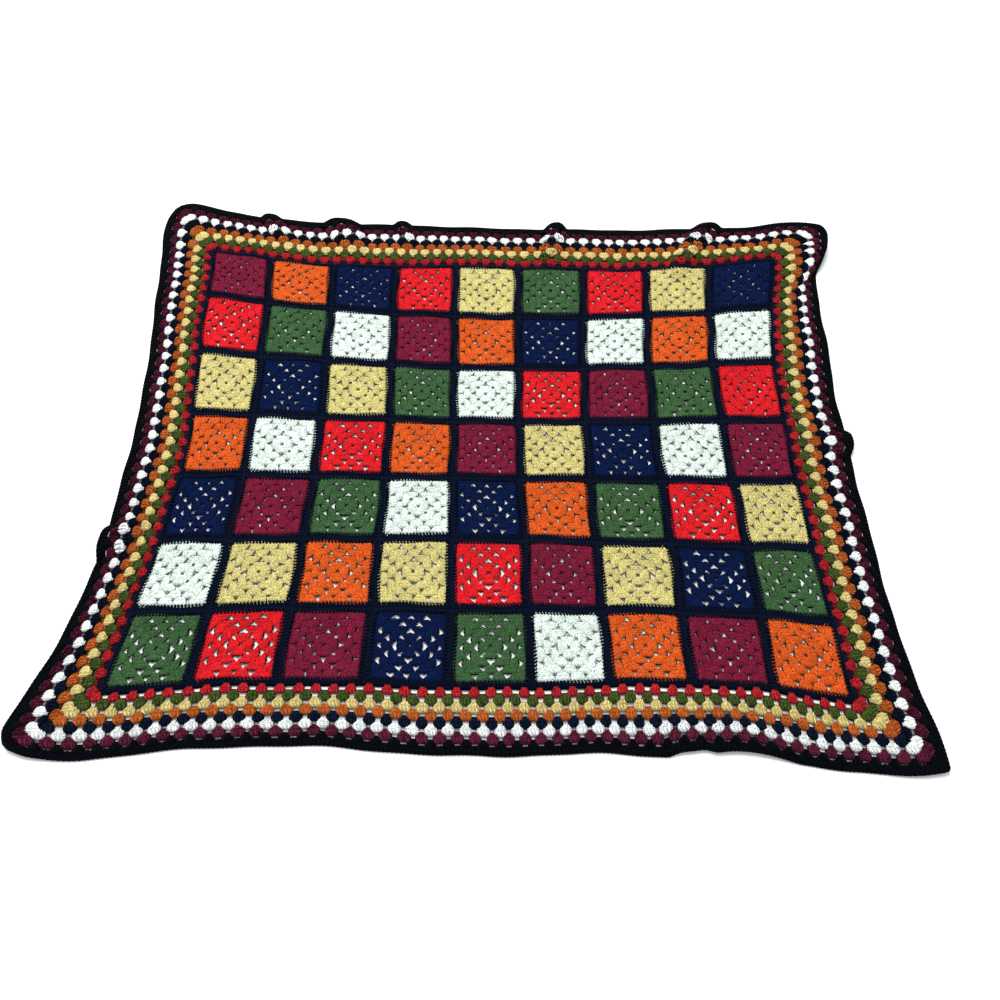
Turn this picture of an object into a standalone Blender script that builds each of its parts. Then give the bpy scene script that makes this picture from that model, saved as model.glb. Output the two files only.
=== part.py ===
"""Granny square blanket lying flat, with its ripples: one square panel and eight border rings.

Metres, +Z up. The origin is the middle of the square panel, on its underside. +X runs along the
nine columns of squares and +Y along the seven rows, so the far edge is the one at +Y.

The fabric has two sets of coordinates. Flat coordinates (s, t) are distances on the blanket when
it is laid out square. drape() takes them to where the fabric lies: pulled out of square, as
crochet is, with short ripples standing up from its edges.
"""
import bmesh
import bpy
import numpy as np

# ---------------------------------------------------------------- driving sizes, metres
SQUARE_PITCH = 0.125            # one granny square with its share of the navy edging
COLUMNS, ROWS = 9, 7
PANEL_X = COLUMNS * SQUARE_PITCH / 2
PANEL_Y = ROWS * SQUARE_PITCH / 2

ROUND_WIDTH = 0.012             # one round of treble clusters
EDGING_WIDTH = 0.018            # the solid outer edging
THICKNESS = 0.004               # worsted yarn in treble stitches
RING_GAP = 0.0006               # left between a ring and its neighbour
CORNER_ROUNDING = 0.6           # 0 keeps the border's corners square

MM = 0.001
GRID_STEP = 0.11                # widest spacing of the fabric's grid lines, as a share of a half side
GRID_CLOSEST = 0.022            # grid lines nearer than this to a fold's own lines are dropped

# ---------------------------------------------------------------- the rounds, from the panel out
#                name        width, m     yarn colour, sRGB 0 to 255
ROUNDS = [
    ("border_red", ROUND_WIDTH, (216, 38, 48)),
    ("border_green", ROUND_WIDTH, (62, 98, 66)),
    ("border_gold", ROUND_WIDTH, (214, 203, 132)),
    ("border_orange", ROUND_WIDTH, (205, 80, 32)),
    ("border_navy", ROUND_WIDTH, (17, 32, 62)),
    ("border_cream", ROUND_WIDTH, (231, 245, 234)),
    ("border_burgundy", ROUND_WIDTH, (104, 27, 45)),
    ("edge_navy", EDGING_WIDTH, (12, 18, 35)),
]
PANEL_COLOUR = (12, 18, 35)
BORDER_WIDTH = sum(width for name, width, colour in ROUNDS)
HALF_X = PANEL_X + BORDER_WIDTH
HALF_Y = PANEL_Y + BORDER_WIDTH

# ---------------------------------------------------------------- how it is pulled out of square
# Shift to the right of five column lines, mm, at five stations up the panel.
COLUMN_LINES = np.array([0, 1, 4.5, 8, 9]) * SQUARE_PITCH - PANEL_X
COLUMN_STATIONS = np.array([-1, -0.5, 0, 0.5, 1]) * PANEL_Y
#    near lower mid upper far
COLUMN_SHIFT = [
    (-20, 12, 25, 2, -12),      # left edge of the panel
    (-18, 1, 6, 0, -14),        # first seam
    (6, 2, -4, -6, -6),         # middle of the panel
    (8, 5, -2, 2, 22),          # last seam
    (2, -5, -8, 3, 48),         # right edge of the panel
]
# Shift away from the near side of five row lines, mm, at five stations across the panel.
ROW_LINES = np.array([0, 2, 4, 6, 7]) * SQUARE_PITCH - PANEL_Y
ROW_STATIONS = np.array([-1, -0.67, 0, 0.67, 1]) * PANEL_X
#    left inner mid inner right
ROW_SHIFT = [
    (-6, 10, 6, 9, -9),         # near edge of the panel
    (-4, 2, 4, -2, -6),         # second seam
    (3, -2, -9, 0, 6),          # fourth seam
    (38, 14, -5, 10, 32),       # last seam
    (38, 9, 7, 16, 45),         # far edge of the panel
]
# How far the outer edge of each side lies outside its square outline, mm.
OUTLINE_STATIONS = np.array([-1, -0.75, -0.4, 0, 0.4, 0.75, 1])     # share of the side's half length
OUTLINE_OUT = {
    "left": (56, 10, -20, -30, -14, 6, 26),     # near to far
    "right": (30, 3, -5, -6, 5, 15, 58),
    "near": (8, -7, -17, -6, -3, 9, 36),        # left to right
    "far": (66, 32, 14, 12, 12, 27, 24),
}

# ---------------------------------------------------------------- ripples and lifted corners
# A ripple stands up at the outer edge and dies away inwards.
#    side    place along it, height, half width, reach inwards and how far it draws the edge in, mm;
#    a negative draw pushes the edge out
RIPPLES = [
    ("far", -450, 12, 30, 90, 0),
    ("far", -318, 18, 36, 105, 0),
    ("far", -185, 9, 30, 80, 0),
    ("far", 140, 26, 30, 120, 0),
    ("far", 458, 20, 40, 175, 0),
    ("right", 480, 22, 56, 105, -24),
    ("right", 15, 14, 32, 75, 0),
    ("left", -175, 16, 34, 85, 0),
    ("near", 352, 9, 62, 90, 12),
]
# A corner that curls up off the floor.
#    sign of x, sign of y, height and radius, mm
CURLED_CORNERS = [
    (1, 1, 26, 150),
    (-1, 1, 12, 120),
    (-1, -1, 6, 90),
    (1, -1, 5, 90),
]


def through(stations, values, at):
    """Values read at `at` from a smooth cubic through one value, or row of values, a station."""
    values = np.asarray(values, dtype=float)
    if values.ndim == 1:
        values = values[:, None] + np.zeros(at.size)
    slopes = np.gradient(values, stations, axis=0)
    at = np.clip(at, stations[0], stations[-1])
    i = np.clip(np.searchsorted(stations, at, side="right") - 1, 0, len(stations) - 2)
    column = np.arange(at.size)
    span = stations[i + 1] - stations[i]
    u = (at - stations[i]) / span
    return ((1 + 2 * u) * (1 - u) ** 2 * values[i, column]
            + u * (1 - u) ** 2 * span * slopes[i, column]
            + u ** 2 * (3 - 2 * u) * values[i + 1, column]
            - u ** 2 * (1 - u) * span * slopes[i + 1, column])


def pulled(along, across, lines, line_stations, line_shifts, low_out, high_out, half, edge, half_across):
    """Shift along one axis, m: the panel's lines inside it, then out to the two sides' outlines."""
    each_line = np.array([through(line_stations, row, across) for row in line_shifts])
    inside = through(lines, each_line, along)
    low = -through(OUTLINE_STATIONS * half_across, low_out, across)
    high = through(OUTLINE_STATIONS * half_across, high_out, across)
    outside = np.clip((abs(along) - edge) / (half - edge), 0, 1)
    return MM * (inside * (1 - outside) + np.where(along < 0, low, high) * outside)


def rippled(s, t):
    """What the ripples and curled corners add, m: draw in X, draw in Y, height above the floor."""
    ring = np.maximum(np.maximum(abs(s) - PANEL_X, abs(t) - PANEL_Y), 0)
    share_x = s / (PANEL_X + ring)
    share_y = t / (PANEL_Y + ring)
    drawn_x, drawn_y, height = np.zeros((3, s.size))
    for side, place, rise, half_width, reach, drawn in RIPPLES:
        sign = 1 if side in ("far", "right") else -1
        if side in ("far", "near"):
            across = share_x * HALF_X - place * MM
            depth = HALF_Y - sign * t
        else:
            across = share_y * HALF_Y - place * MM
            depth = HALF_X - sign * s
        bump = np.clip(1 - (across / (half_width * MM)) ** 2, 0, None) ** 2
        bump = bump * np.clip(1 - (depth / (reach * MM)) ** 2, 0, None) ** 2
        height = np.maximum(height, rise * MM * bump)
        if side in ("far", "near"):
            drawn_y = drawn_y - sign * drawn * MM * bump
        else:
            drawn_x = drawn_x - sign * drawn * MM * bump
    for sign_x, sign_y, rise, radius in CURLED_CORNERS:
        distance = np.hypot(s - sign_x * HALF_X, t - sign_y * HALF_Y) / (radius * MM)
        height = np.maximum(height, rise * MM * np.clip(1 - distance ** 2, 0, None) ** 2)
    return drawn_x, drawn_y, height


def drape(s, t):
    """Where the fabric's underside lies, for flat coordinates s and t: rows of x, y and z."""
    beyond_x = np.clip((abs(s) - PANEL_X) / BORDER_WIDTH, 0, 1)
    beyond_y = np.clip((abs(t) - PANEL_Y) / BORDER_WIDTH, 0, 1)
    round_x = np.sign(s) * BORDER_WIDTH * beyond_x * (np.sqrt(1 - CORNER_ROUNDING * beyond_y ** 2 / 2) - 1)
    round_y = np.sign(t) * BORDER_WIDTH * beyond_y * (np.sqrt(1 - CORNER_ROUNDING * beyond_x ** 2 / 2) - 1)
    drawn_x, drawn_y, height = rippled(s, t)
    x = s + round_x + drawn_x + pulled(s, t, COLUMN_LINES, COLUMN_STATIONS, COLUMN_SHIFT,
                             OUTLINE_OUT["left"], OUTLINE_OUT["right"], HALF_X, PANEL_X, HALF_Y)
    y = t + round_y + drawn_y + pulled(t, s, ROW_LINES, ROW_STATIONS, ROW_SHIFT,
                             OUTLINE_OUT["near"], OUTLINE_OUT["far"], HALF_Y, PANEL_Y, HALF_X)
    return np.stack([x, y, height], axis=1)


def grid_shares(sides, half):
    """Grid lines across the fabric, as shares of its half side: every ripple's crest and feet,
    and evenly spaced lines where those leave room."""
    own = [-1.0, 1.0]
    for side, place, rise, half_width, reach, drawn in RIPPLES:
        if side in sides:
            own += [(place + k * half_width) * MM / half for k in (-1, 0, 1)]
    own = [share for share in own if abs(share) <= 1]
    even = np.linspace(-1, 1, 2 * int(np.ceil(1 / GRID_STEP)) + 1)
    lines = own + [e for e in even if min(abs(e - o) for o in own) > GRID_CLOSEST]
    return np.array(sorted(lines))


SHARES_X = grid_shares(("far", "near"), HALF_X)
SHARES_Y = grid_shares(("left", "right"), HALF_Y)


def loop_at(offset):
    """Flat coordinates once round the blanket, anticlockwise, `offset` outside the panel's edge."""
    x, y = PANEL_X + offset, PANEL_Y + offset
    across, up = SHARES_X[:-1], SHARES_Y[:-1]
    s = np.concatenate([across * x, np.full(up.size, x), SHARES_X[:0:-1] * x, np.full(up.size, -x)])
    t = np.concatenate([np.full(across.size, -y), up * y, np.full(across.size, y), SHARES_Y[:0:-1] * y])
    return s, t


def yarn(name, colour):
    """Matt wool material of an sRGB colour."""
    material = bpy.data.materials.new(name)
    material.use_nodes = True
    shader = material.node_tree.nodes["Principled BSDF"]
    linear = [((c / 255 + 0.055) / 1.055) ** 2.4 if c > 10 else c / 255 / 12.92 for c in colour]
    shader.inputs["Base Color"].default_value = (*linear, 1.0)
    shader.inputs["Roughness"].default_value = 0.9
    shader.inputs["Metallic"].default_value = 0.0
    material.diffuse_color = (*linear, 1.0)
    return material


def fabric(name, points, quads, colour):
    """A closed sheet: the underside's quads, extruded straight up by the fabric's thickness."""
    bm = bmesh.new()
    corners = [bm.verts.new(p) for p in points]
    for quad in quads:
        bm.faces.new([corners[i] for i in quad])
    top = bmesh.ops.extrude_face_region(bm, geom=bm.faces[:])["geom"]
    raised = [item for item in top if isinstance(item, bmesh.types.BMVert)]
    bmesh.ops.translate(bm, vec=(0, 0, THICKNESS), verts=raised)
    bmesh.ops.recalc_face_normals(bm, faces=bm.faces[:])
    mesh = bpy.data.meshes.new(name)
    bm.to_mesh(mesh)
    bm.free()
    mesh.materials.append(yarn(name, colour))
    thing = bpy.data.objects.new(name, mesh)
    bpy.context.collection.objects.link(thing)


def square_panel():
    """The joined squares, one fabric on a grid."""
    columns = SHARES_X * (PANEL_X - RING_GAP / 2)
    rows = SHARES_Y * (PANEL_Y - RING_GAP / 2)
    s, t = np.meshgrid(columns, rows)
    wide = columns.size
    quads = [(j * wide + i, j * wide + i + 1, (j + 1) * wide + i + 1, (j + 1) * wide + i)
             for j in range(rows.size - 1) for i in range(wide - 1)]
    fabric("square_panel", drape(s.ravel(), t.ravel()), quads, PANEL_COLOUR)


def border_ring(name, inner, outer, colour):
    """One round of the border, a closed ring between two loops."""
    inside, outside = drape(*loop_at(inner)), drape(*loop_at(outer))
    n = len(inside)
    quads = [(n + i, n + (i + 1) % n, (i + 1) % n, i) for i in range(n)]
    fabric(name, np.concatenate([inside, outside]), quads, colour)


def border():
    """Every round, each beginning where the last one ended."""
    reached = 0.0
    for name, width, colour in ROUNDS:
        last = name == ROUNDS[-1][0]
        border_ring(name, reached + RING_GAP / 2, reached + width - (0 if last else RING_GAP / 2), colour)
        reached += width


for thing in list(bpy.data.objects):
    bpy.data.objects.remove(thing)
square_panel()
border()
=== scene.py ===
import math
import bpy
import numpy as np
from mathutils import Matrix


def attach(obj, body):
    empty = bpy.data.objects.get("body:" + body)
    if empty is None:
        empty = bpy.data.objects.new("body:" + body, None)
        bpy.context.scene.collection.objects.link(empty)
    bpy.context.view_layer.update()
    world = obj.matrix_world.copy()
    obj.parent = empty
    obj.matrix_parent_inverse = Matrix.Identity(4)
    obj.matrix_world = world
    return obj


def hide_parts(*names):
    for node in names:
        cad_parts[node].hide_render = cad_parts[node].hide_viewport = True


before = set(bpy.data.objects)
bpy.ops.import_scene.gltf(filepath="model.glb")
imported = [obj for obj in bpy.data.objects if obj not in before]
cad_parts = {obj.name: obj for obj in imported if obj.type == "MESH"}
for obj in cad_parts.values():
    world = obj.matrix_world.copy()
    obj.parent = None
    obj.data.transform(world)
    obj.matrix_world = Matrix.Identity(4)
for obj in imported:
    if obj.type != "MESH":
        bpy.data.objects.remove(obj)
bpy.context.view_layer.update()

scene = bpy.context.scene
mm = 0.001

# camera
cameraSetup = {
    "standAt": (-0.0146, -0.6952, 1.1149),   # metres
    "turn": (27.679, -1.744, -0.188),        # degrees about X, Y, Z
    "lens": 26.073, "sensor": 36,            # mm
}
cameraData = bpy.data.cameras.new("camera")
cameraData.sensor_width = cameraSetup["sensor"]
cameraData.lens = cameraSetup["lens"]
camera = bpy.data.objects.new("camera", cameraData)
camera.location = cameraSetup["standAt"]
camera.rotation_euler = [math.radians(a) for a in cameraSetup["turn"]]
scene.collection.objects.link(camera)
scene.camera = camera
print("camera placed")

# how the blanket lies
# Stations are places along a side as shares of its half, and shifts are in mm.
clothLay = {
    "squarePitch": 0.125, "columns": 9, "rows": 7,
    "panelX": 0.5625, "panelY": 0.4375,      # half sizes of the squares' panel
    "borderWidth": 0.102, "roundWidth": 0.012,
    "cornerRounding": 0.3,
    "columnLines": (0, 1, 2.75, 4.5, 6.25, 8, 9), "columnStations": (-1, -0.5, 0, 0.5, 1),
    "columnShift": [(-20, 12, 25, 2, -12), (-16, 4, 10, 1, -14), (-1, 5, 9, 2, -6), (7, 2, -3, -5, -6),
                    (2, -4, -8, -3, 13), (7, 4, -3, 2, 26), (4, -5, -8, 3, 48)],
    "rowLines": (0, 2, 4, 6, 7), "rowStations": (-1, -0.67, 0, 0.67, 1),
    "rowShift": [(-8, 6, 2, 5, -17), (-6, -2, 1, -6, -10), (0, -5, -12, -4, 3),
                 (34, 9, -10, 5, 29), (34, 4, 2, 10, 41)],
    "outlineStations": (-1, -0.85, -0.7, -0.4, -0.2, 0, 0.2, 0.4, 0.6, 0.8, 1),
    "left": (60, 31, 4, -28, -31, -30, -25, -12, 2, 15, 26),
    "right": (35, 17, 3, -4, -4, -3, -1, 9, 17, 30, 60),
    "near": (8, 2, -9, -18, -9, -3, -8, -3, 1, 17, 34),
    "far": (68, 50, 30, 16, 16, 12, 13, 15, 22, 33, 30),
    # side, place, height, half width, reach inwards, how far the edge is drawn in
    "ripples": [("far", -456, 12, 24, 90, 0), ("far", -308, 16, 40, 105, 0), ("far", -181, 12, 20, 85, 0),
                ("far", 138, 20, 23, 120, 0), ("far", 449, 17, 31, 175, 0),
                ("right", 480, 22, 88, 105, -20), ("right", 15, 14, 27, 75, -5),
                ("left", -196, 21, 34, 85, 0), ("near", 302, 4, 38, 90, 9), ("near", 376, 5, 85, 90, 8)],
    # which corner, height, radius
    "curledCorners": [(1, 1, 26, 150), (-1, 1, 12, 120), (-1, -1, 6, 90), (1, -1, 5, 90)],
    "tableStep": 0.004,                      # spacing of the lookup table
    "sway": 0.0011, "puff": 0.0009,          # small unevenness, in the plane and up
    # its waves: radians per metre along s and along t, then start and size
    "swayS": ((9, 34, 1.0, 1), (-23, 71, 0, 0.6)), "swayT": ((31, -12, 2.2, 1), (63, 29, 0.4, 0.6)),
    "puffWaves": ((57, 14), (-17, 49)),
    "puffFade": 0.03,                        # no puff at the cloth's edge, and all of it this far in
}
halfX = clothLay["panelX"] + clothLay["borderWidth"]
halfY = clothLay["panelY"] + clothLay["borderWidth"]


# A cubic through the values at the stations, with slopes from their neighbours, held level past the ends.
def through(stations, values, at):
    stations = np.asarray(stations, dtype=float)
    values = np.asarray(values, dtype=float)
    if values.ndim == 1:
        values = values[:, None] + np.zeros(at.size)
    slopes = np.gradient(values, stations, axis=0)
    at = np.clip(at, stations[0], stations[-1])
    i = np.clip(np.searchsorted(stations, at, side="right") - 1, 0, len(stations) - 2)
    column = np.arange(at.size)
    span = stations[i + 1] - stations[i]
    u = (at - stations[i]) / span
    return ((1 + 2 * u) * (1 - u) ** 2 * values[i, column]
            + u * (1 - u) ** 2 * span * slopes[i, column]
            + u ** 2 * (3 - 2 * u) * values[i + 1, column]
            - u ** 2 * (1 - u) * span * slopes[i + 1, column])


# Shift = the seam lines' shift inside the panel, fading over the border into the outline's own shift.
def pulled(along, across, lines, lineStations, lineShifts, lowOut, highOut, half, edge, halfAcross):
    eachLine = np.array([through(lineStations, row, across) for row in lineShifts])
    inside = through(lines, eachLine, along)
    outline = np.array(clothLay["outlineStations"]) * halfAcross
    low = -through(outline, lowOut, across)
    high = through(outline, highOut, across)
    outside = np.clip((abs(along) - edge) / (half - edge), 0, 1)
    return mm * (inside * (1 - outside) + np.where(along < 0, low, high) * outside)


# Height of a ripple = rise * (1 - |across / half width|^3)^2 * (1 - (depth / reach)^2)^2, never below zero,
# and of a lifted corner = rise * (1 - (distance / radius)^2)^2. Where they meet, the higher one counts.
# Places along a side are scaled to the outer edge's length, so that a ripple narrows inwards.
def rippled(s, t):
    ring = np.maximum(np.maximum(abs(s) - clothLay["panelX"], abs(t) - clothLay["panelY"]), 0)
    alongX = s / (clothLay["panelX"] + ring) * halfX
    alongY = t / (clothLay["panelY"] + ring) * halfY
    drawnX, drawnY, height = np.zeros((3, s.size))
    for side, place, rise, halfWidth, reach, drawn in clothLay["ripples"]:
        sign = 1 if side in ("far", "right") else -1
        sideways = side in ("left", "right")
        across = (alongY if sideways else alongX) - place * mm
        depth = halfX - sign * s if sideways else halfY - sign * t
        bump = (np.clip(1 - abs(across / (halfWidth * mm)) ** 3, 0, None) ** 2
                * np.clip(1 - (depth / (reach * mm)) ** 2, 0, None) ** 2)
        height = np.maximum(height, rise * mm * bump)
        drawnX -= sign * drawn * mm * bump * sideways
        drawnY -= sign * drawn * mm * bump * (not sideways)
    for signX, signY, rise, radius in clothLay["curledCorners"]:
        distance = np.hypot(s - signX * halfX, t - signY * halfY)
        height = np.maximum(height, rise * mm * np.clip(1 - (distance / (radius * mm)) ** 2, 0, None) ** 2)
    return drawnX, drawnY, height


# Place of a point of the flat cloth = itself + rounding at the corners + ripples + pulled lines.
# Rounding = border width * own share out * (sqrt(1 - cornerRounding * other share out^2) - 1).
def drape(s, t):
    panelX, panelY, wide = clothLay["panelX"], clothLay["panelY"], clothLay["borderWidth"]
    beyondX = np.clip((abs(s) - panelX) / wide, 0, 1)
    beyondY = np.clip((abs(t) - panelY) / wide, 0, 1)
    rounding = clothLay["cornerRounding"]
    roundX = np.sign(s) * wide * beyondX * (np.sqrt(1 - rounding * beyondY ** 2) - 1)
    roundY = np.sign(t) * wide * beyondY * (np.sqrt(1 - rounding * beyondX ** 2) - 1)
    drawnX, drawnY, height = rippled(s, t)
    pitch = clothLay["squarePitch"]
    columnLines = np.array(clothLay["columnLines"]) * pitch - panelX
    rowLines = np.array(clothLay["rowLines"]) * pitch - panelY
    columnStations = np.array(clothLay["columnStations"]) * panelY
    rowStations = np.array(clothLay["rowStations"]) * panelX
    x = s + roundX + drawnX + pulled(s, t, columnLines, columnStations, clothLay["columnShift"],
                                     clothLay["left"], clothLay["right"], halfX, panelX, halfY)
    y = t + roundY + drawnY + pulled(t, s, rowLines, rowStations, clothLay["rowShift"],
                                     clothLay["near"], clothLay["far"], halfY, panelY, halfX)
    return np.stack([x, y, height], axis=1)


# The drape and its upward normals, worked out once on a fine grid.
def makeTable():
    step = clothLay["tableStep"]
    s = np.arange(-halfX - step, halfX + 2 * step, step)
    t = np.arange(-halfY - step, halfY + 2 * step, step)
    gridS, gridT = np.meshgrid(s, t, indexing="ij")
    base = drape(gridS.ravel(), gridT.ravel()).reshape(gridS.shape + (3,))
    up = np.cross(np.gradient(base, step, axis=0), np.gradient(base, step, axis=1))
    up /= np.linalg.norm(up, axis=2, keepdims=True)
    return s, t, np.concatenate([base, up], axis=2)


tableS, tableT, table = makeTable()


# Sum of size * sin(first rate * s + second rate * t + start) over the waves.
def waves(rows, s, t):
    return sum(size * np.sin(rateS * s + rateT * t + start) for rateS, rateT, start, size in rows)


# Point = drape(s, t) + h * normal, both read between the table's four nearest entries. A slow sway moves s
# and t first, and a puff adds to h. Places are kept just short of the table's last entries.
def onCloth(points):
    s, t, h = points.T
    swayed = s + clothLay["sway"] * waves(clothLay["swayS"], s, t)
    t = t + clothLay["sway"] * waves(clothLay["swayT"], s, t)
    s = swayed
    inside = np.clip(np.minimum(halfX - abs(s), halfY - abs(t)) / clothLay["puffFade"], 0, 1)
    (firstS, firstT), (secondS, secondT) = clothLay["puffWaves"]
    bumps = np.sin(firstS * s + firstT * t) * np.sin(secondS * s + secondT * t)
    h = h + clothLay["puff"] * inside * (1 + bumps)
    step = clothLay["tableStep"]
    placeS = np.clip((s - tableS[0]) / step, 0, len(tableS) - 1.001)
    placeT = np.clip((t - tableT[0]) / step, 0, len(tableT) - 1.001)
    i, j = placeS.astype(int), placeT.astype(int)
    a, b = (placeS - i)[:, None], (placeT - j)[:, None]
    found = ((table[i, j] * (1 - a) + table[i + 1, j] * a) * (1 - b)
             + (table[i, j + 1] * (1 - a) + table[i + 1, j + 1] * a) * b)
    return found[:, :3] + h[:, None] * found[:, 3:]


# yarn
# Outlines across a strand, as shares of its half width and half height, from the right side upwards.
sections = {
    "three": ((1, 0), (0, 1), (-1, 0)),
    "pad": ((1, 0.2), (0.93, 1), (-0.93, 1), (-1, 0.2), (-0.96, -1), (0.96, -1)),
}
# painted shade: how far the yarn's tone drops on the walls and underside, at each point of an outline
sectionShadeDrop = {"three": (0, 0, 0), "pad": (1.4, 0, 0, 1.4, 2.1, 2.1)}


# Ring point = path point + half width * outline's first share * sideways + half height * second share * up.
# Sideways is square to the path, or to facing where a body's rings all face one way.
# The UV runs round a strand in u, and along it in v, which counts centimetres.
def strands(paths, wide, tall, section="three", closed=False, tone=None, facing=None):
    count, points = paths.shape[:2]
    outline = np.array(sections[section])
    sides = len(outline)
    wide = np.broadcast_to(wide, (count, points))
    tall = np.broadcast_to(tall, (count, points))
    if facing is not None:
        ahead = np.broadcast_to(np.array(facing, dtype=float), paths.shape[:2] + (2,))
    elif closed:
        ahead = (np.roll(paths, -1, axis=1) - np.roll(paths, 1, axis=1))[..., :2]
    else:
        ahead = np.gradient(paths, axis=1)[..., :2]
    ahead = ahead / np.maximum(np.linalg.norm(ahead, axis=2, keepdims=True), 1e-9)
    rings = np.repeat(paths[:, :, None, :], sides, axis=2)
    out = wide[:, :, None] * outline[:, 0]
    rings[..., 0] += out * ahead[..., None, 1]
    rings[..., 1] -= out * ahead[..., None, 0]
    rings[..., 2] += tall[:, :, None] * outline[:, 1]

    index = np.arange(count * points * sides).reshape(count, points, sides)
    steps = points if closed else points - 1
    k, j = np.meshgrid(np.arange(steps), np.arange(sides), indexing="ij")
    nextK, nextJ = (k + 1) % points, (j + 1) % sides
    quads = np.stack([index[:, k, j], index[:, nextK, j],
                      index[:, nextK, nextJ], index[:, k, nextJ]], axis=3)
    length = np.zeros((count, points + 1))
    far = np.roll(paths, -1, axis=1) if closed else np.concatenate([paths[:, 1:], paths[:, -1:]], axis=1)
    length[:, 1:] = np.cumsum(np.linalg.norm(far - paths, axis=2), axis=1) / (10 * mm)
    u = np.broadcast_to(np.stack([j, j, j + 1, j + 1], axis=2) / sides, quads.shape)
    v = np.stack([length[:, k], length[:, k + 1], length[:, k + 1], length[:, k]], axis=3)
    loops, totals = [quads.ravel()], [np.full(quads.size // 4, 4)]
    across, along = [u.ravel()], [v.ravel()]
    if not closed:
        caps = np.stack([index[:, 0], index[:, -1, ::-1]], axis=1)
        loops.append(caps.ravel())
        totals.append(np.full(count * 2, sides))
        across.append(np.full(caps.size, 0.5))
        along.append(np.repeat(np.stack([length[:, 0], length[:, -1]], axis=1), sides, axis=1).ravel())
    if tone is None:
        tone = rng.random(count)
    # each point's tone is the strand's own, less the outline's painted shade
    return {"points": rings.reshape(-1, 3),
            "loops": np.concatenate(loops), "totals": np.concatenate(totals),
            "u": np.concatenate(across), "v": np.concatenate(along),
            "tone": np.repeat(tone, points * sides) - np.tile(sectionShadeDrop[section], count * points)}


# One mesh from several lots of strands, laid on the cloth. Lots hold points, faces, UVs and tones.
def makePiece(name, lots, material, node):
    start = np.cumsum([0] + [len(lot["points"]) for lot in lots])
    points = onCloth(np.concatenate([lot["points"] for lot in lots]))
    loops = np.concatenate([lot["loops"] + first for lot, first in zip(lots, start)])
    totals = np.concatenate([lot["totals"] for lot in lots])
    mesh = bpy.data.meshes.new(name)
    mesh.vertices.add(len(points))
    mesh.vertices.foreach_set("co", points.astype(np.float32).ravel())
    mesh.loops.add(len(loops))
    mesh.loops.foreach_set("vertex_index", loops.astype(np.int32))
    mesh.polygons.add(len(totals))
    mesh.polygons.foreach_set("loop_start", (np.cumsum(totals) - totals).astype(np.int32))
    mesh.update(calc_edges=True)
    yarnUV = mesh.uv_layers.new(name="yarn")
    both = np.stack([np.concatenate([lot[key] for lot in lots]) for key in ("u", "v")], axis=1)
    yarnUV.data.foreach_set("uv", both.astype(np.float32).ravel())
    tone = mesh.attributes.new("tone", "FLOAT", "POINT")
    tone.data.foreach_set("value", np.concatenate([lot["tone"] for lot in lots]).astype(np.float32))
    mesh.shade_smooth()
    mesh.materials.append(material)
    piece = bpy.data.objects.new(name, mesh)
    scene.collection.objects.link(piece)
    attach(piece, "root")
    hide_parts(node)
    triangles = int((totals - 2).sum())
    triangleCount.append(triangles)
    print(name, triangles, "triangles")
    return piece


seed = 11
rng = np.random.default_rng(seed)
triangleCount = []

# yarn materials
yarnFinish = {
    "roughness": 0.92, "sheen": 0.01, "sheenRoughness": 0.4, "specular": 0.02,
    "bump": 0.5, "bumpDistance": 0.0006,
    "plyTurns": 3.2,          # ply grooves in a centimetre of strand
    "fibreScale": 520.0,      # noise cells in a metre
    "fibreDetail": 3, "fibreHeight": 0.9,    # the noise's height, against 1 for the grooves
    # the shade's ends, and how much of it is the strand's tone, the grooves and the noise past its middle
    "shadeLow": 0.44, "shadeHigh": 1.34,
    "toneShare": 0.45, "grooveShare": 0.3, "fibreShare": 1.8, "fibreMiddle": 0.43,
}
# sRGB, 0 to 255
yarnColours = {
    "burgundy": (133, 34, 61), "orange": (230, 100, 40), "navy": (14, 31, 74), "red": (228, 38, 45),
    "gold": (224, 212, 138), "green": (70, 106, 66), "cream": (232, 245, 235),
    "join": (11, 19, 38), "edge": (6, 9, 14),
}
# the border rounds' colours: the squares' yarns made duller and warmer, with painted shade worked in
roundShadedColours = {
    "red": (208, 47, 52), "green": (85, 103, 47), "gold": (217, 198, 129), "orange": (214, 110, 50),
    "navy": (22, 34, 58), "cream": (236, 240, 237), "burgundy": (128, 48, 76),
}


# The usual sRGB curve, undone: share / 12.92 up to 0.04045, and ((share + 0.055) / 1.055)^2.4 past it.
def linear(colour):
    share = np.array(colour) / 255
    return tuple(np.where(share <= 0.04045, share / 12.92, ((share + 0.055) / 1.055) ** 2.4)) + (1.0,)
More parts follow.
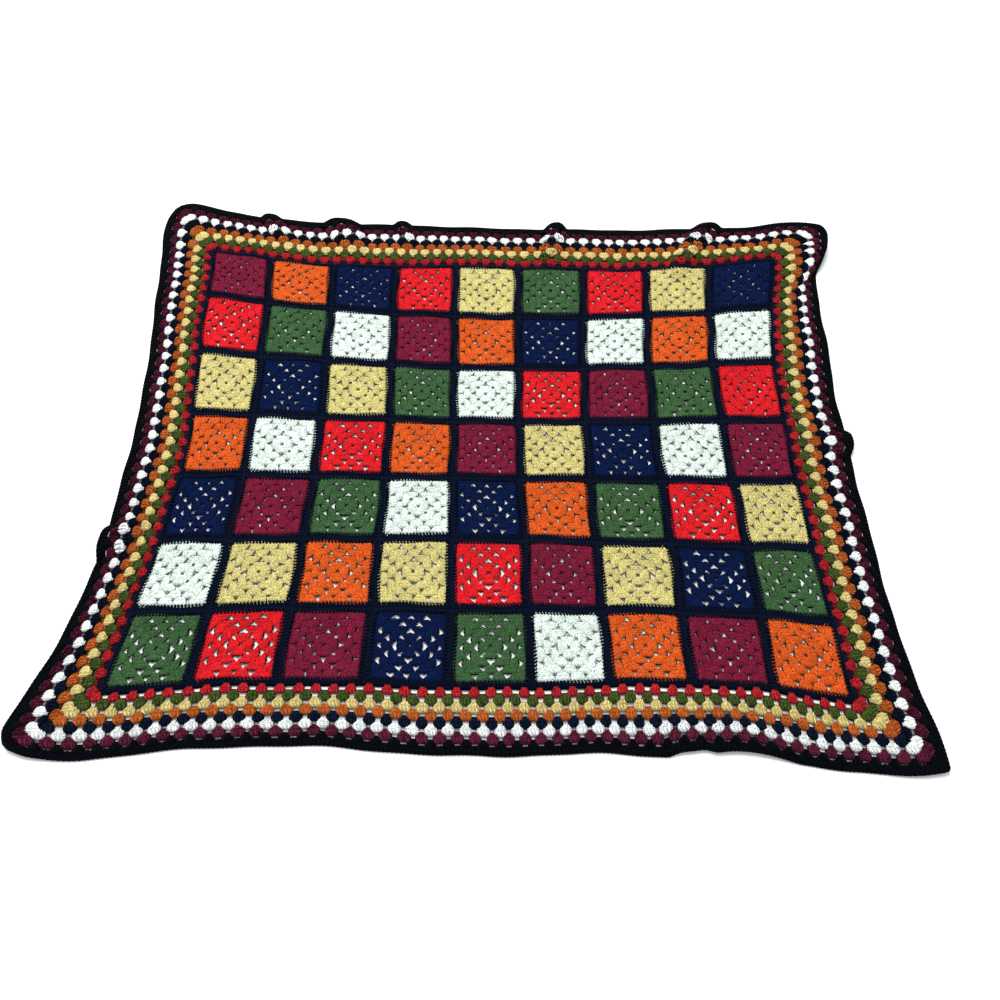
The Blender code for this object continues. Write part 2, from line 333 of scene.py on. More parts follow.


# Height = grooves that wind round the strand, plus fine fibre noise.
# Shade = low + (high - low) * weighted sum of the strand's own tone, the grooves and the noise; lowered
# tones and the grooves are painted shade.
def makeYarnGroup():
    group = bpy.data.node_groups.new("twistedYarn", "ShaderNodeTree")
    for name in ("Ply turns", "Fibre scale", "Shade low", "Shade high"):
        group.interface.new_socket(name, in_out="INPUT", socket_type="NodeSocketFloat")
    for name in ("Shade", "Height"):
        group.interface.new_socket(name, in_out="OUTPUT", socket_type="NodeSocketFloat")
    nodes, links = group.nodes, group.links

    def math2(operation, a, b):
        node = nodes.new("ShaderNodeMath")
        node.operation = operation
        for socket, value in zip(node.inputs, (a, b)):
            if isinstance(value, (int, float)):
                socket.default_value = value
            elif value is not None:
                links.new(value, socket)
        return node.outputs[0]

    given = nodes.new("NodeGroupInput").outputs
    put = nodes.new("NodeGroupOutput").inputs
    uv = nodes.new("ShaderNodeUVMap")
    uv.uv_map = "yarn"
    split = nodes.new("ShaderNodeSeparateXYZ")
    links.new(uv.outputs[0], split.inputs[0])
    winding = math2("ADD", math2("MULTIPLY", split.outputs[1], given["Ply turns"]), split.outputs[0])
    groove = math2("ABSOLUTE", math2("SINE", math2("MULTIPLY", winding, math.pi), None), None)
    place = nodes.new("ShaderNodeTexCoord")
    fibre = nodes.new("ShaderNodeTexNoise")
    fibre.inputs["Detail"].default_value = yarnFinish["fibreDetail"]
    links.new(place.outputs["Object"], fibre.inputs["Vector"])
    links.new(given["Fibre scale"], fibre.inputs["Scale"])
    fuzz = math2("MULTIPLY", fibre.outputs["Fac"], yarnFinish["fibreHeight"])
    links.new(math2("ADD", groove, fuzz), put["Height"])
    tone = nodes.new("ShaderNodeAttribute")
    tone.attribute_name = "tone"
    mixed = math2("ADD", math2("MULTIPLY", tone.outputs["Fac"], yarnFinish["toneShare"]),
                  math2("MULTIPLY", groove, yarnFinish["grooveShare"]))
    flecks = math2("SUBTRACT", fibre.outputs["Fac"], yarnFinish["fibreMiddle"])
    mixed = math2("ADD", mixed, math2("MULTIPLY", flecks, yarnFinish["fibreShare"]))
    spread = math2("SUBTRACT", given["Shade high"], given["Shade low"])
    links.new(math2("ADD", math2("MULTIPLY", mixed, spread), given["Shade low"]), put["Shade"])
    return group


yarnGroup = makeYarnGroup()


# Colour = the yarn's own * the group's shade, and the group's height is a bump.
def makeYarn(name, colour):
    material = bpy.data.materials.new(name + "Yarn")
    material.use_nodes = True
    nodes, links = material.node_tree.nodes, material.node_tree.links
    shader = nodes["Principled BSDF"]
    shader.inputs["Roughness"].default_value = yarnFinish["roughness"]
    shader.inputs["Sheen Weight"].default_value = yarnFinish["sheen"]
    shader.inputs["Sheen Roughness"].default_value = yarnFinish["sheenRoughness"]
    shader.inputs["Specular IOR Level"].default_value = yarnFinish["specular"]
    yarn = nodes.new("ShaderNodeGroup")
    yarn.node_tree = yarnGroup
    yarn.inputs["Ply turns"].default_value = yarnFinish["plyTurns"]
    yarn.inputs["Fibre scale"].default_value = yarnFinish["fibreScale"]
    yarn.inputs["Shade low"].default_value = yarnFinish["shadeLow"]
    yarn.inputs["Shade high"].default_value = yarnFinish["shadeHigh"]
    tint = nodes.new("ShaderNodeVectorMath")
    tint.operation = "SCALE"
    tint.inputs[0].default_value = linear(colour)[:3]
    links.new(yarn.outputs["Shade"], tint.inputs["Scale"])
    links.new(tint.outputs[0], shader.inputs["Base Color"])
    bump = nodes.new("ShaderNodeBump")
    bump.inputs["Strength"].default_value = yarnFinish["bump"]
    bump.inputs["Distance"].default_value = yarnFinish["bumpDistance"]
    links.new(yarn.outputs["Height"], bump.inputs["Height"])
    links.new(bump.outputs[0], shader.inputs["Normal"])
    return material


yarns = {name: makeYarn(name, colour) for name, colour in yarnColours.items()}
roundShadedYarns = {name: makeYarn(name + "Round", colour) for name, colour in roundShadedColours.items()}
print("yarn materials made")

# stitches
# A cluster is worked on one foot: a body with columns of slanting strokes of yarn over it. Sizes are in mm,
# and the body's rings run from foot to top.
squareCluster = {
    "along": (0, 0.22, 0.57, 0.69, 1),
    # the body's half width where the gap beside it is open, and where it is drawn shut
    "openHalf": (4.0, 5.8, 8.2, 11.6, 11.8), "shutHalf": (6.2, 10.0, 11.7, 11.8, 11.9),
    "tall": (1.5, 1.6, 1.6, 1.5, 1.3), "rise": (2.5, 2.5, 2.5, 2.4, 2.2),
    "spread": (2.2, 4.6, 7.0, 9.6, 10.2),    # how far the outer columns are from the middle
    "leanShare": (0, 0.3, 0.7, 0.9, 1),      # of a corner cluster's lean
    "leanWidens": 8,                         # a lean of this much doubles the spread
    # columns as shares of the spread, and the points of a column's two strokes
    "columns": (-1, -0.34, 0.34, 1),
    "strokes": ((0.02, 0.24, 0.46), (0.54, 0.78, 1.04)),
    "strokeAcross": ((-1.9, 0.0, 1.9), (1.7, 0.1, -1.7)),
    "strokeWide": (0.6, 0.95, 0.6), "strokeTall": (0.9, 1.3, 0.9), "strokeRise": (3.6, 4.1, 3.5),
    # the bodies' low tone is painted shade in the crevices between and under the strokes, which stay
    # lighter
    "bodyTone": -0.55, "strokeTone": 0.6, "strokeToneJitter": 0.3,
}
# how much clusters and their strokes differ
stitchJitter = {
    "foot": 0.25, "top": (0.45, 0.15), "strokeSide": 0.4, "strokeHeight": 0.12,    # mm
    "strokePlace": 0.02, "strokeSlant": 0.3,     # shares of a cluster's height, and of the slant
    "bodyTone": 0.2, "strokeTone": 0.3,          # how much of the cluster's own tone goes into each
}


# Clusters' bodies and strokes, standing on one side of a plan, foot (x, y) to top (x, y).
# Half width = open outline * (1 - shut) + shut outline * shut + half the corner's lean.
# Tone = the piece's tint + the shape's tone + a share of the cluster's own, for bodies and for strokes; the
# bodies' low tone and the border's side tints are painted shade.
def clusters(foot, top, shape, shut, leanOut, quarter, tint, centre=(0, 0)):
    count = len(foot)
    along = np.array(shape["along"])
    jitter = stitchJitter
    foot = foot + rng.normal(0, jitter["foot"] * mm, foot.shape)
    top = top + rng.normal(0, np.array(jitter["top"]) * mm, top.shape)
    lean = np.abs(leanOut)[:, None] / 2 * np.array(shape["leanShare"])
    body = np.zeros((count, len(along), 3))
    body[..., 0] = foot[:, :1] + (top - foot)[:, :1] * along + np.sign(leanOut)[:, None] * lean
    body[..., 1] = foot[:, 1:] + (top - foot)[:, 1:] * along
    body[..., 2] = np.array(shape["rise"]) * mm
    shut = np.reshape(shut, (-1, 1))
    half = (np.array(shape["openHalf"]) * (1 - shut) + np.array(shape["shutHalf"]) * shut) * mm + lean
    facing = quarterTurned(np.array([0.0, 1.0]), quarter)
    tone = rng.random(count)
    path = quarterTurned(body, quarter)
    path[..., :2] += centre
    lots = [strands(path, half, np.array(shape["tall"]) * mm, section="pad", facing=facing,
                    tone=tint[0] + shape["bodyTone"] + jitter["bodyTone"] * tone)]
    spread = np.array(shape["spread"]) * mm * (1 + lean / (shape["leanWidens"] * mm))
    for column in shape["columns"]:
        for stroke, slant in zip(shape["strokes"], shape["strokeAcross"]):
            over = np.array(stroke) + rng.normal(0, jitter["strokePlace"], (count, 1))
            across = np.zeros((count, len(stroke), 3))
            rows = np.arange(count)[:, None]
            place = np.clip(np.searchsorted(along, over) - 1, 0, len(along) - 2)
            share = (over - along[place]) / (along[place + 1] - along[place])
            line = body[..., 0] + column * spread
            across[..., 0] = line[rows, place] * (1 - share) + line[rows, place + 1] * share
            across[..., 0] += np.array(slant) * mm * rng.normal(1, jitter["strokeSlant"], (count, 1))
            across[..., 0] += rng.normal(0, jitter["strokeSide"] * mm, (count, 1))
            across[..., 1] = foot[:, 1:] + (top - foot)[:, 1:] * over
            across[..., 2] = np.array(shape["strokeRise"]) * mm
            across[..., 2] += rng.normal(0, jitter["strokeHeight"] * mm, (count, 1))
            path = quarterTurned(across, quarter)
            path[..., :2] += centre
            strokeTone = tint[1] + shape["strokeTone"] + jitter["strokeTone"] * tone
            strokeTone = strokeTone + rng.normal(0, shape["strokeToneJitter"], count)
            lots.append(strands(path, np.array(shape["strokeWide"]) * mm,
                                np.array(shape["strokeTall"]) * mm, tone=strokeTone))
    return lots


# Turn a plan by quarter turns clockwise, so that one side's stitches serve all four.
def quarterTurned(path, quarter):
    x, y = path[..., 0].copy(), path[..., 1].copy()
    cos, sin = ((1, 0), (0, 1), (-1, 0), (0, -1))[quarter]
    turned = path.copy()
    turned[..., 0] = x * cos + y * sin
    turned[..., 1] = -x * sin + y * cos
    return turned


# A chain round a square starts each side at its corner: out = half - cut * nearness^2 + or - zigzag.
# Corner holds the reach of that nearness and the cut. The zigzag stops at the corner itself.
def chainRound(half, stitches, zigzag, height, corner):
    reach, cut = corner
    zigzagEnd = 0.9
    per = 2 * stitches
    u = (np.arange(per) / per * 2 - 1) * half
    near = np.clip((abs(u) - (half - reach)) / reach, 0, 1) ** 2
    side = np.zeros((per, 3))
    side[:, 0] = u - np.sign(u) * cut * near
    side[:, 1] = half - cut * near + zigzag * (-1.0) ** np.arange(per) * (near < zigzagEnd)
    side[:, 2] = height
    return np.concatenate([quarterTurned(side, quarter) for quarter in range(4)])


# granny squares
joinShape = {
    "legs": 20,                               # on a square's side, one to each tooth of its last chain
    # a leg's outer and inner end: distances from the square's centre, half widths, heights
    "legOut": 0.0606, "legIn": 0.0526, "legWideOut": 0.0024, "legWideIn": 0.0010, "legTall": 0.0011,
    "legHeightOut": 0.0028, "legHeightIn": 0.0041,
    "legStart": 0.75,                         # the first leg's place, in legs from the corner
    "legSplay": 0.0015,                       # moves a leg's inner end along the side, at a corner
    "legJitter": (0.3, 0.5),                  # mm, along the side and inwards
    "chain": 0.0605, "chainStitches": 16, "chainZigzag": 0.0006, "chainCorner": (0.002, 0.0002),
    "chainWide": 0.0018, "chainTall": 0.0016, "chainHeight": 0.0022,
    "webInner": 0.0098,                       # half width of the strips between squares
    # how far the outer strips reach into the panel, and past it: left and right, then near and far
    # past the panel, the strips' dark yarn lies under the first border round's gaps as painted shade
    "webInwards": 0.0091, "webBeyond": ((0.0150, 0.0150), (0.0045, 0.0095)),
    "webTall": 0.0010, "webHeights": (0.0013, 0.0015), "webSteps": 8,
}
squareShape = {
    "rounds": 4,
    "hub": 0.0080,           # centre to the foot of round one's clusters, were it as deep as the others
    "ringFoot": 0.0027,      # where round one really starts
    "ringStitches": 2, "ringHeight": 0.00208,
    "roundDepth": 0.0117,
    "clusterStep": 0.0117,   # half the distance between clusters
    "bite": 0.0030,          # how far a foot reaches back over the round before
    "topInset": 0.0016,
    "lean": 0.0036, "cornerFoot": 0.0042,    # corner clusters lean outwards, from a foot nearer the corner
    # the chains between rounds, and the last one, whose zigzag makes the teeth
    "chainZigzag": 0.0009, "chainWide": 0.0012, "chainTall": 0.0009, "chainHeight": 0.0026,
    "chainInset": 0.0008, "chainCorner": (0.0045, 0.0018), "chainJitter": 0.1,
    "toothDepth": 0.0032, "toothWide": 0.0010, "toothTone": 1.0, "toothCorner": (0.003, 0.0008),
    # the inner chains are painted dark as shade at the bottom of the gaps
    "chainTone": {"burgundy": -1.6, "orange": -1.6, "navy": -1.2, "red": -1.6, "gold": -1.4,
                  "green": -2.5, "cream": -0.9},
    # added to the tone of the clusters' bodies, and to their strokes'; it lightens the bodies' painted
    # shade, most on the pale yarns
    "tint": {"cream": (0.4, 0.02), "gold": (0.2, 0.0), "orange": (0.15, 0.05), "burgundy": (0.1, 0.0),
             "red": (0.2, 0.05), "green": (0.1, 0.05), "navy": (0.0, 0.0)},
    # a letter to a square, far row first
    "chart": ("BONRYGRYN", "RGWBONWOW", "YNYGWRBGR", "OWROBYNWB", "NBGWNOGRY", "WYOYRBYNG", "GRBNGWOBO"),
    # how far each colour's gaps are drawn shut in the far, the middle and the near row
    "shut": {"burgundy": (1.15, 1.1, 1.15), "orange": (1.15, 1.0, 1.0), "navy": (0.75, 0.66, 0.15),
             "red": (0.95, 0.62, 0.28), "gold": (1.1, 1.0, 0.85), "green": (0.95, 0.8, 0.3),
             "cream": (1.1, 1.05, 1.0)},
    "tighter": {(0, 8): 0.5, (0, 0): 0.2, (2, 8): 0.3},   # added at a row and column
    "shutSquares": 0.06, "shutClusters": 0.18,    # how much squares and single clusters differ in it
    "shutLimits": (-0.15, 1.15),
}
squareLetters = {"B": "burgundy", "O": "orange", "N": "navy", "R": "red", "Y": "gold", "G": "green",
                 "W": "cream"}


# Half sizes of the panel along a side and across it. Sideways means the right and left sides.
def panelSizes(sideways):
    sizes = (clothLay["panelX"], clothLay["panelY"])
    return sizes[::-1] if sideways else sizes


# Centres of the squares with one letter, far row first.
def squareCentres(letter):
    pitch = clothLay["squarePitch"]
    return np.array([((column + 0.5) * pitch - clothLay["panelX"],
                      clothLay["panelY"] - (row + 0.5) * pitch)
                     for row, line in enumerate(squareShape["chart"])
                     for column, found in enumerate(line) if found == letter])


# Cluster c of round n stands at (2c - n + 1) steps, with its top at hub + n rounds and its foot a round in.
# The chain over round n has 3n + 1 stitches on a side, and the last chain has a tooth for each leg.
def makeSquares(letter):
    shape = squareShape
    name = squareLetters[letter]
    centres = squareCentres(letter)
    step, depth = shape["clusterStep"], shape["roundDepth"]
    n, c = np.array([(n, c) for n in range(1, shape["rounds"] + 1) for c in range(n)]).T
    outwards = (n > 1) * ((c == n - 1) * 1.0 - (c == 0))
    middle = (2 * c - n + 1) * step
    footOut = np.where(n == 1, shape["ringFoot"], shape["hub"] + (n - 1) * depth - shape["bite"])
    foot = np.stack([middle + shape["cornerFoot"] * outwards, footOut], axis=1)
    top = np.stack([middle, shape["hub"] + n * depth - shape["topInset"]], axis=1)
    leanOut = shape["lean"] * outwards
    lots = []
    for centre in centres:
        shut = np.interp(-centre[1], (-clothLay["panelY"], 0, clothLay["panelY"]), shape["shut"][name])
        row = int((clothLay["panelY"] - centre[1]) / clothLay["squarePitch"])
        column = int((clothLay["panelX"] + centre[0]) / clothLay["squarePitch"])
        shut += rng.normal(0, shape["shutSquares"]) + shape["tighter"].get((row, column), 0)
        for quarter in range(4):
            drawn = np.clip(shut + rng.normal(0, shape["shutClusters"], len(n)), *shape["shutLimits"])
            lots += clusters(foot, top, squareCluster, drawn, leanOut, quarter, shape["tint"][name],
                             centre)
        for ring in range(shape["rounds"] + 1):
            out = shape["hub"] + ring * depth - shape["chainInset"]
            wide, tone = shape["chainWide"], shape["chainTone"][name]
            if ring == 0:
                loop = chainRound(shape["ringFoot"], shape["ringStitches"], 0, shape["ringHeight"],
                                  shape["toothCorner"])
            elif ring < shape["rounds"]:
                loop = chainRound(out, 3 * ring + 1, shape["chainZigzag"], shape["chainHeight"],
                                  shape["chainCorner"])
            else:
                loop = chainRound(out, joinShape["legs"], shape["toothDepth"], shape["chainHeight"],
                                  shape["toothCorner"])
                wide, tone = shape["toothWide"], shape["toothTone"]
            loop[:, :2] += centre + rng.normal(0, shape["chainJitter"] * mm, (len(loop), 2))
            lots.append(strands(loop[None], wide, shape["chainTall"], closed=True, tone=np.full(1, tone)))
    makePiece(name + "Squares", lots, yarns[name], "square_panel")


for letter in squareLetters:
    makeSquares(letter)
print("squares made")

# the squares' dark edging and joins
# Each leg is a tapered peg from the seam in over the square's last chain, with a chain along the seam.
def makeJoinStitches():
    shape = joinShape
    centres = np.concatenate([squareCentres(letter) for letter in squareLetters])
    along = (np.arange(shape["legs"]) + shape["legStart"]) / shape["legs"] * 2 - 1
    sideJitter, inJitter = shape["legJitter"]
    lots = []
    for centre in centres:
        for quarter in range(4):
            legs = np.zeros((shape["legs"], 2, 3))
            legs[:, 0, 0] = along * shape["legOut"]
            legs[:, 1, 0] = along * (shape["legIn"] + shape["legSplay"])
            legs[:, 1, 0] += rng.normal(0, sideJitter * mm, shape["legs"])
            legs[:, 0, 1] = shape["legOut"]
            legs[:, 1, 1] = shape["legIn"] + rng.normal(0, inJitter * mm, shape["legs"])
            legs[:, 0, 2] = shape["legHeightOut"]
            legs[:, 1, 2] = shape["legHeightIn"]
            legs = quarterTurned(legs, quarter)
            legs[..., :2] += centre
            wide = np.array([shape["legWideOut"], shape["legWideIn"]])
            lots.append(strands(legs, wide, shape["legTall"]))
        loop = chainRound(shape["chain"], shape["chainStitches"], shape["chainZigzag"],
                          shape["chainHeight"], shape["chainCorner"])
        loop[:, :2] += centre
        lots.append(strands(loop[None], shape["chainWide"], shape["chainTall"], closed=True))
    return makePiece("joinStitches", lots, yarns["join"], "square_panel")


# The web under the joins is a flat strip along every seam line. Each one round the outside of the panel
# runs from webInwards inside its edge to webBeyond outside it.
def makeJoins(stitches):
    shape = joinShape
    pitch = clothLay["squarePitch"]
    lots, area, length = [], 0, 0
    for across, lines in enumerate((clothLay["columns"], clothLay["rows"])):
        edge, run = panelSizes(across == 1)
        for line in range(lines + 1):
            outer = line in (0, lines)
            beyond = shape["webBeyond"][across][line > 0]
            half = (shape["webInwards"] + beyond) / 2 if outer else shape["webInner"]
            steps = round(2 * run / pitch) * shape["webSteps"] + 1
            path = np.zeros((1, steps, 3))
            path[0, :, 1 - across] = np.linspace(-run, run, steps)
            inwards = (half - beyond) * outer * (1 if line == 0 else -1)
            path[0, :, across] = line * pitch - edge + inwards
            path[0, :, 2] = shape["webHeights"][across]
            lots.append(strands(path, half, shape["webTall"]))
            area += 2 * run * 2 * half
            length += 2 * run
    makePiece("squareJoins", lots, yarns["join"], "square_panel")


makeJoins(makeJoinStitches())
print("joins made")

# border rounds
borderShape = {
    "rounds": ("red", "green", "gold", "orange", "navy", "cream", "burgundy"),
    "longClusters": 45, "shortClusters": 33,   # on a side of the first round; one more on each round after
    "cornerInset": 0.009,
    # each round's inner edge, from the panel, and its clusters' feet and tops, out from that edge
    "start": (0.0030, 0.0155, 0.0270, 0.0388, 0.0502, 0.0612, 0.0726),
    "foot": -0.0055, "top": 0.0132, "firstFoot": -0.0030,
    "placeJitter": 0.5,                        # mm
    # how far the gaps are drawn shut on the far, right, near and left sides, and how much clusters differ
    "shut": (0.95, 0.85, 0.15, 0.85), "shutClusters": 0.2,
    # added to it on the near side, and on the three others
    "nearShut": {"red": 0.0, "green": 0.35, "gold": 0.45, "orange": 0.35, "navy": 0.2, "cream": 0.5,
                 "burgundy": 0.5},
    "otherShut": {"red": -0.1, "green": 0.15, "gold": -0.4, "orange": 0.15, "navy": 0.4, "cream": -0.4,
                  "burgundy": 0.4},
    # links between clusters: on the near side thin and far out, elsewhere broad, near the feet and painted
    # dark as shade in the gaps
    "link": {"wide": 0.0009, "depth": 0.0092, "tone": 0.4},
    "otherLink": {"wide": 0.0036, "depth": 0.0066, "tone": -1.5},
    "linkTall": 0.0008, "linkHeight": 0.0022, "linkToneRange": 0.3,
    "linkEnd": 0.006,                          # from a cluster's middle to its link's end
    "linkSag": 0.0008,                         # towards the panel, at a link's middle
    # added to the tone of bodies and of strokes, on the near side, and on the three others: painted shading
    # of each side, darker on the three others for most yarns and lighter there for gold and cream
    "nearTint": {"red": (-0.6, -0.8), "green": (-0.75, -0.9), "gold": (-0.1, -0.1), "orange": (-0.5, -0.8),
                 "navy": (-0.9, -1.1), "cream": (0.0, 0.0), "burgundy": (-0.85, -1.5)},
    "otherTint": {"red": (-0.7, -1.0), "green": (-0.8, -0.9), "gold": (0.1, 0.0), "orange": (-0.75, -0.95),
                  "navy": (-1.2, -1.6), "cream": (0.2, 0.2), "burgundy": (-1.1, -2.0)},
}
borderPlaces = {}    # where the last round's clusters stand on each side, for the edging
borderCluster = {
    "along": (0, 0.20, 0.40, 0.66, 0.88, 1),
    "openHalf": (4.0, 4.8, 7.6, 8.6, 7.0, 4.0), "shutHalf": (5.4, 6.6, 9.8, 10.6, 8.2, 4.6),
    "tall": (1.2, 1.7, 2.0, 2.0, 1.7, 1.1), "rise": (2.1, 2.4, 2.8, 2.8, 2.6, 2.1),
    "spread": (1.2, 2.8, 5.0, 5.6, 4.6, 3.2),
    "leanShare": (0, 0.2, 0.4, 0.7, 0.9, 1), "leanWidens": 8,
    "columns": (-1, 0, 1),
    "strokes": ((0.14, 0.34, 0.54), (0.50, 0.74, 0.96)),
    "strokeAcross": ((-1.7, 0.1, 1.8), (1.6, 0.0, -1.5)),
    "strokeWide": (1.2, 1.8, 1.3), "strokeTall": (1.2, 1.8, 1.2), "strokeRise": (3.8, 4.6, 3.5),
    # the bodies' low tone is painted shade in the crevices between and under the strokes, which stay
    # lighter
    "bodyTone": -0.35, "strokeTone": 0.6, "strokeToneJitter": 0.25,
}


# Clusters stand in even steps from -reach to reach on each side, with reach = half the side - inset, and a
# link lies between each two.
def makeRound(number):
    shape = borderShape
    name = shape["rounds"][number]
    inner = shape["start"][number]
    lots = []
    middleLine = inner + clothLay["roundWidth"] / 2
    for quarter in range(4):
        sideways = quarter % 2 == 1
        half, out = panelSizes(sideways)
        count = (shape["shortClusters"] if sideways else shape["longClusters"]) + number
        reach = half + middleLine - shape["cornerInset"]
        places = np.linspace(-reach, reach, count) + rng.normal(0, shape["placeJitter"] * mm, count)
        low = shape["foot"] if number else shape["firstFoot"]
        foot = np.stack([places, np.full(count, out + inner + low)], axis=1)
        top = np.stack([places, np.full(count, out + inner + shape["top"])], axis=1)
        near = quarter == 2
        shut = shape["shut"][quarter] + rng.normal(0, shape["shutClusters"], count)
        shut += shape["nearShut" if near else "otherShut"][name]
        tint = shape["nearTint" if near else "otherTint"][name]
        lots += clusters(foot, top, borderCluster, shut, np.zeros(count), quarter, tint)
        borderPlaces[quarter] = places
        kind = shape["link" if near else "otherLink"]
        link = np.zeros((count - 1, 3, 3))
        link[:, 0, 0] = places[:-1] + shape["linkEnd"]
        link[:, 1, 0] = (places[:-1] + places[1:]) / 2
        link[:, 2, 0] = places[1:] - shape["linkEnd"]
        link[:, :, 1] = out + inner + kind["depth"] - np.array([0, shape["linkSag"], 0])
        link[:, :, 2] = shape["linkHeight"]
        linkTone = kind["tone"] + rng.random(count - 1) * shape["linkToneRange"]
        lots.append(strands(quarterTurned(link, quarter), kind["wide"], shape["linkTall"], tone=linkTone))
    makePiece(name + "Round", lots, roundShadedYarns[name], "border_" + name)


for number in range(len(borderShape["rounds"])):
    makeRound(number)
print("border rounds made")

# outer edging
edgingShape = {
    "stitchPitch": 0.0062,
    "rows": ((0.0880, 0.0940), (0.0925, 0.0990)),        # stitches' feet and tops, out from the panel
    "wide": (0.0026, 0.0034, 0.0032), "tall": (0.0009, 0.0012, 0.0012), "height": (0.0026, 0.0026, 0.0024),
    # stitches between the last round's clusters, out from the panel, with their half widths
    # narrow on the near side, where the floor shows through; wide and dark on the three others, as painted
    # shade
    "between": (0.0785, 0.0815, 0.0860, 0.0910), "betweenWide": (0.0030, 0.0046, 0.0082, 0.0098),
    "otherBetweenWide": (0.0056, 0.0076, 0.0096, 0.0100),
    # a patch under each corner's clusters: its points out from the panel's corner, with their half widths
    "patch": (0.0640, 0.0760, 0.0900), "patchWide": (0.0040, 0.0110, 0.0120),
    "web": 0.0944, "webWide": 0.0066, "webTall": 0.0012, "webHeight": 0.0016, "webPoints": 120,
    # how near a corner the cloth's edge is cut, and by how much, left and right: near side, then far side
    "cornerReach": 0.045, "cornerCuts": ((0.014, 0.0), (0.011, 0.0)),
    "chain": 0.0999, "chainZigzag": 0.0003, "chainWide": 0.0019, "chainTall": 0.0016,
    "chainHeight": 0.0022,
    "oblongCorner": (0.004, 0.0015), "jitter": 0.25,     # mm for the jitter
}


# Near a corner both |x| and |y| are less by that corner's cut, times the square of how near both are to it.
def softened(path, shape):
    cut = np.array(shape["cornerCuts"])[(path[..., 1] > 0) * 1, (path[..., 0] > 0) * 1]
    reachX = np.clip((abs(path[..., 0]) - halfX) / shape["cornerReach"] + 1, 0, 1)
    reachY = np.clip((abs(path[..., 1]) - halfY) / shape["cornerReach"] + 1, 0, 1)
    eased = path.copy()
    eased[..., 0] -= np.sign(path[..., 0]) * cut * (reachX * reachY) ** 2
    eased[..., 1] -= np.sign(path[..., 1]) * cut * (reachX * reachY) ** 2
    return eased


# A rounded oblong at a distance from the panel, one side after another, clockwise:
# out = panel + distance - cut * nearness^2 to a corner + or - zigzag.
def oblong(out, countX, countY, height, zigzag=0.0):
    reach, cut = edgingShape["oblongCorner"]
    sides = []
    for quarter in range(4):
        sideways = quarter % 2 == 1
        half, off = panelSizes(sideways)
        count = countY if sideways else countX
        u = ((np.arange(count) + 0.5) / count * 2 - 1) * (half + out)
        near = np.clip((abs(u) - (half + out - reach)) / reach, 0, 1) ** 2
        side = np.zeros((count, 3))
        side[:, 0] = u - np.sign(u) * cut * near
        side[:, 1] = off + out - cut * near + zigzag * (-1.0) ** np.arange(count)
        side[:, 2] = height
        sides.append(quarterTurned(side, quarter))
    return np.concatenate(sides)


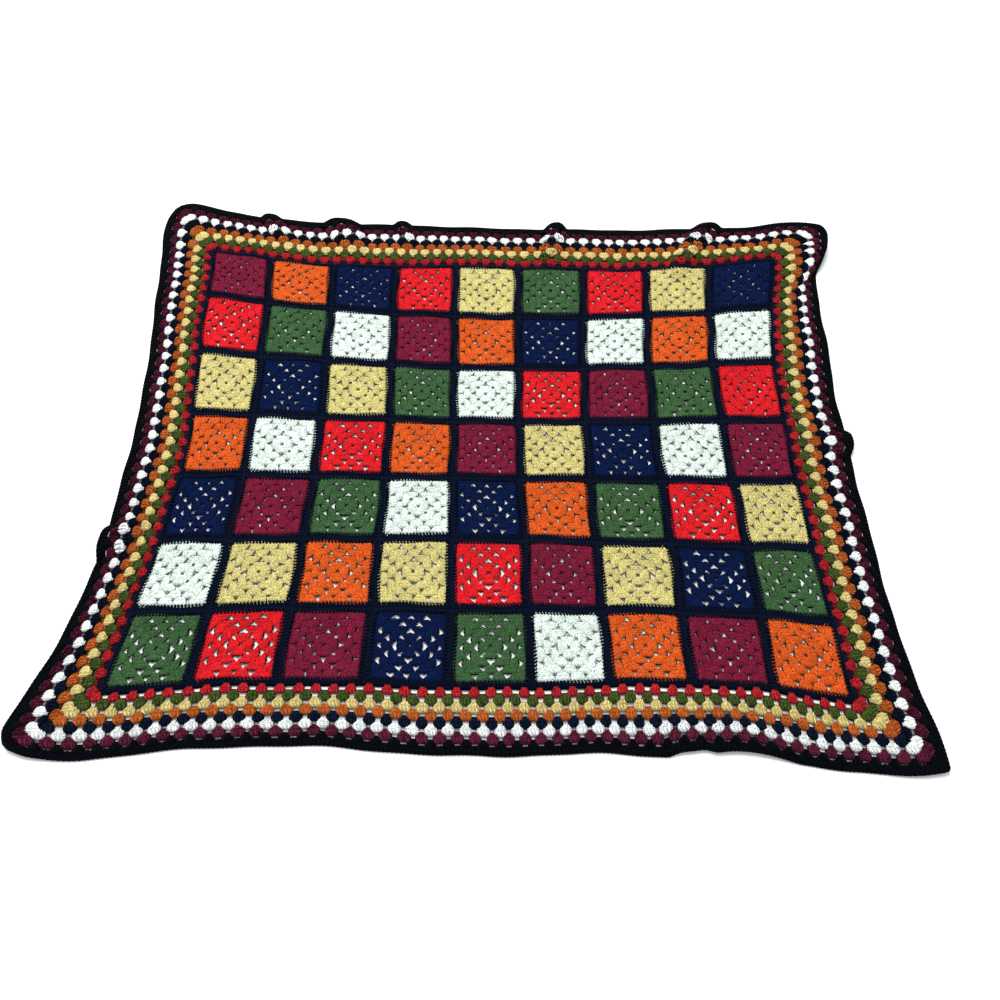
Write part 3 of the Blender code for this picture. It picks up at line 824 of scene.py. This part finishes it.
# Rows of stitches on each side, fillings between the last round's clusters, a patch under each corner, a
# chain along the outside, and the web below them all.
def makeEdging():
    shape = edgingShape
    lots = []
    for row, (low, high) in enumerate(shape["rows"]):
        for quarter in range(4):
            half, off = panelSizes(quarter % 2 == 1)
            count = int(2 * (half + high) / shape["stitchPitch"])
            along = (np.arange(count) + 0.5) / count * 2 - 1
            stitch = np.zeros((count, 3, 3))
            for at, out in enumerate((low, (low + high) / 2, high)):
                stitch[:, at, 0] = along * (half + out) + rng.normal(0, shape["jitter"] * mm, count)
                stitch[:, at, 1] = off + out
                stitch[:, at, 2] = shape["height"][at]
            stitch = softened(quarterTurned(stitch, quarter), shape)
            lots.append(strands(stitch, np.array(shape["wide"]), np.array(shape["tall"])))
    for quarter, places in borderPlaces.items():
        off = panelSizes(quarter % 2 == 1)[1]
        filling = np.zeros((len(places) - 1, len(shape["between"]), 3))
        filling[..., 0] = (places[:-1, None] + places[1:, None]) / 2
        filling[..., 1] = off + np.array(shape["between"])
        filling[..., 2] = shape["height"][0]
        wide = np.array(shape["betweenWide" if quarter == 2 else "otherBetweenWide"])
        lots.append(strands(quarterTurned(filling, quarter), wide, shape["webTall"]))
    patch = np.zeros((4, len(shape["patch"]), 3))
    for corner, (signX, signY) in enumerate(((-1, -1), (1, -1), (1, 1), (-1, 1))):
        patch[corner, :, 0] = signX * (clothLay["panelX"] + np.array(shape["patch"]))
        patch[corner, :, 1] = signY * (clothLay["panelY"] + np.array(shape["patch"]))
        patch[corner, :, 2] = shape["webHeight"]
    lots.append(strands(softened(patch, shape), np.array(shape["patchWide"]), shape["webTall"]))
    countX, countY = (2 * int((half + shape["chain"]) / shape["stitchPitch"] * 2)
                      for half in panelSizes(False))
    chain = oblong(shape["chain"], countX, countY, shape["chainHeight"], shape["chainZigzag"])
    lots.append(strands(softened(chain, shape)[None], shape["chainWide"], shape["chainTall"], closed=True))
    stitches = makePiece("edgingStitches", lots, yarns["edge"], "edge_navy")
    web = oblong(shape["web"], shape["webPoints"], shape["webPoints"], shape["webHeight"])
    web = strands(softened(web, shape)[None], shape["webWide"], shape["webTall"], closed=True)
    makePiece("outerEdging", [web], yarns["edge"], "edge_navy")


makeEdging()
print("outer edging made,", sum(triangleCount), "triangles in all")

# floor and light
studio = {
    "floorColour": (0.93, 0.92, 0.90), "floorRoughness": 0.9, "floorHalf": 8.0,
    "skyColour": (0.93, 0.96, 1.0), "skyStrength": 0.77,
    "lampPlace": (-0.6, 1.4, 2.9), "lampTurn": (-28, -10, 0), "lampSize": 1.8, "lampPower": 116.0,
}
floorMesh = bpy.data.meshes.new("floor")
floorCorners = [(x * studio["floorHalf"], y * studio["floorHalf"], 0)
                for x, y in ((-1, -1), (1, -1), (1, 1), (-1, 1))]
floorMesh.from_pydata(floorCorners, [], [(0, 1, 2, 3)])
floor = bpy.data.objects.new("floor", floorMesh)
scene.collection.objects.link(floor)
floorMaterial = bpy.data.materials.new("floorPaint")
floorMaterial.use_nodes = True
floorShader = floorMaterial.node_tree.nodes["Principled BSDF"]
floorShader.inputs["Base Color"].default_value = studio["floorColour"] + (1.0,)
floorShader.inputs["Roughness"].default_value = studio["floorRoughness"]
floorMesh.materials.append(floorMaterial)

world = bpy.data.worlds.new("studio")
scene.world = world
world.use_nodes = True
sky = world.node_tree.nodes["Background"]
sky.inputs["Color"].default_value = studio["skyColour"] + (1.0,)
sky.inputs["Strength"].default_value = studio["skyStrength"]
lampData = bpy.data.lights.new("softbox", "AREA")
lampData.size = studio["lampSize"]
lampData.energy = studio["lampPower"]
lamp = bpy.data.objects.new("softbox", lampData)
lamp.location = studio["lampPlace"]
lamp.rotation_euler = [math.radians(a) for a in studio["lampTurn"]]
scene.collection.objects.link(lamp)
scene.view_settings.view_transform = "Standard"
print("floor and light set")
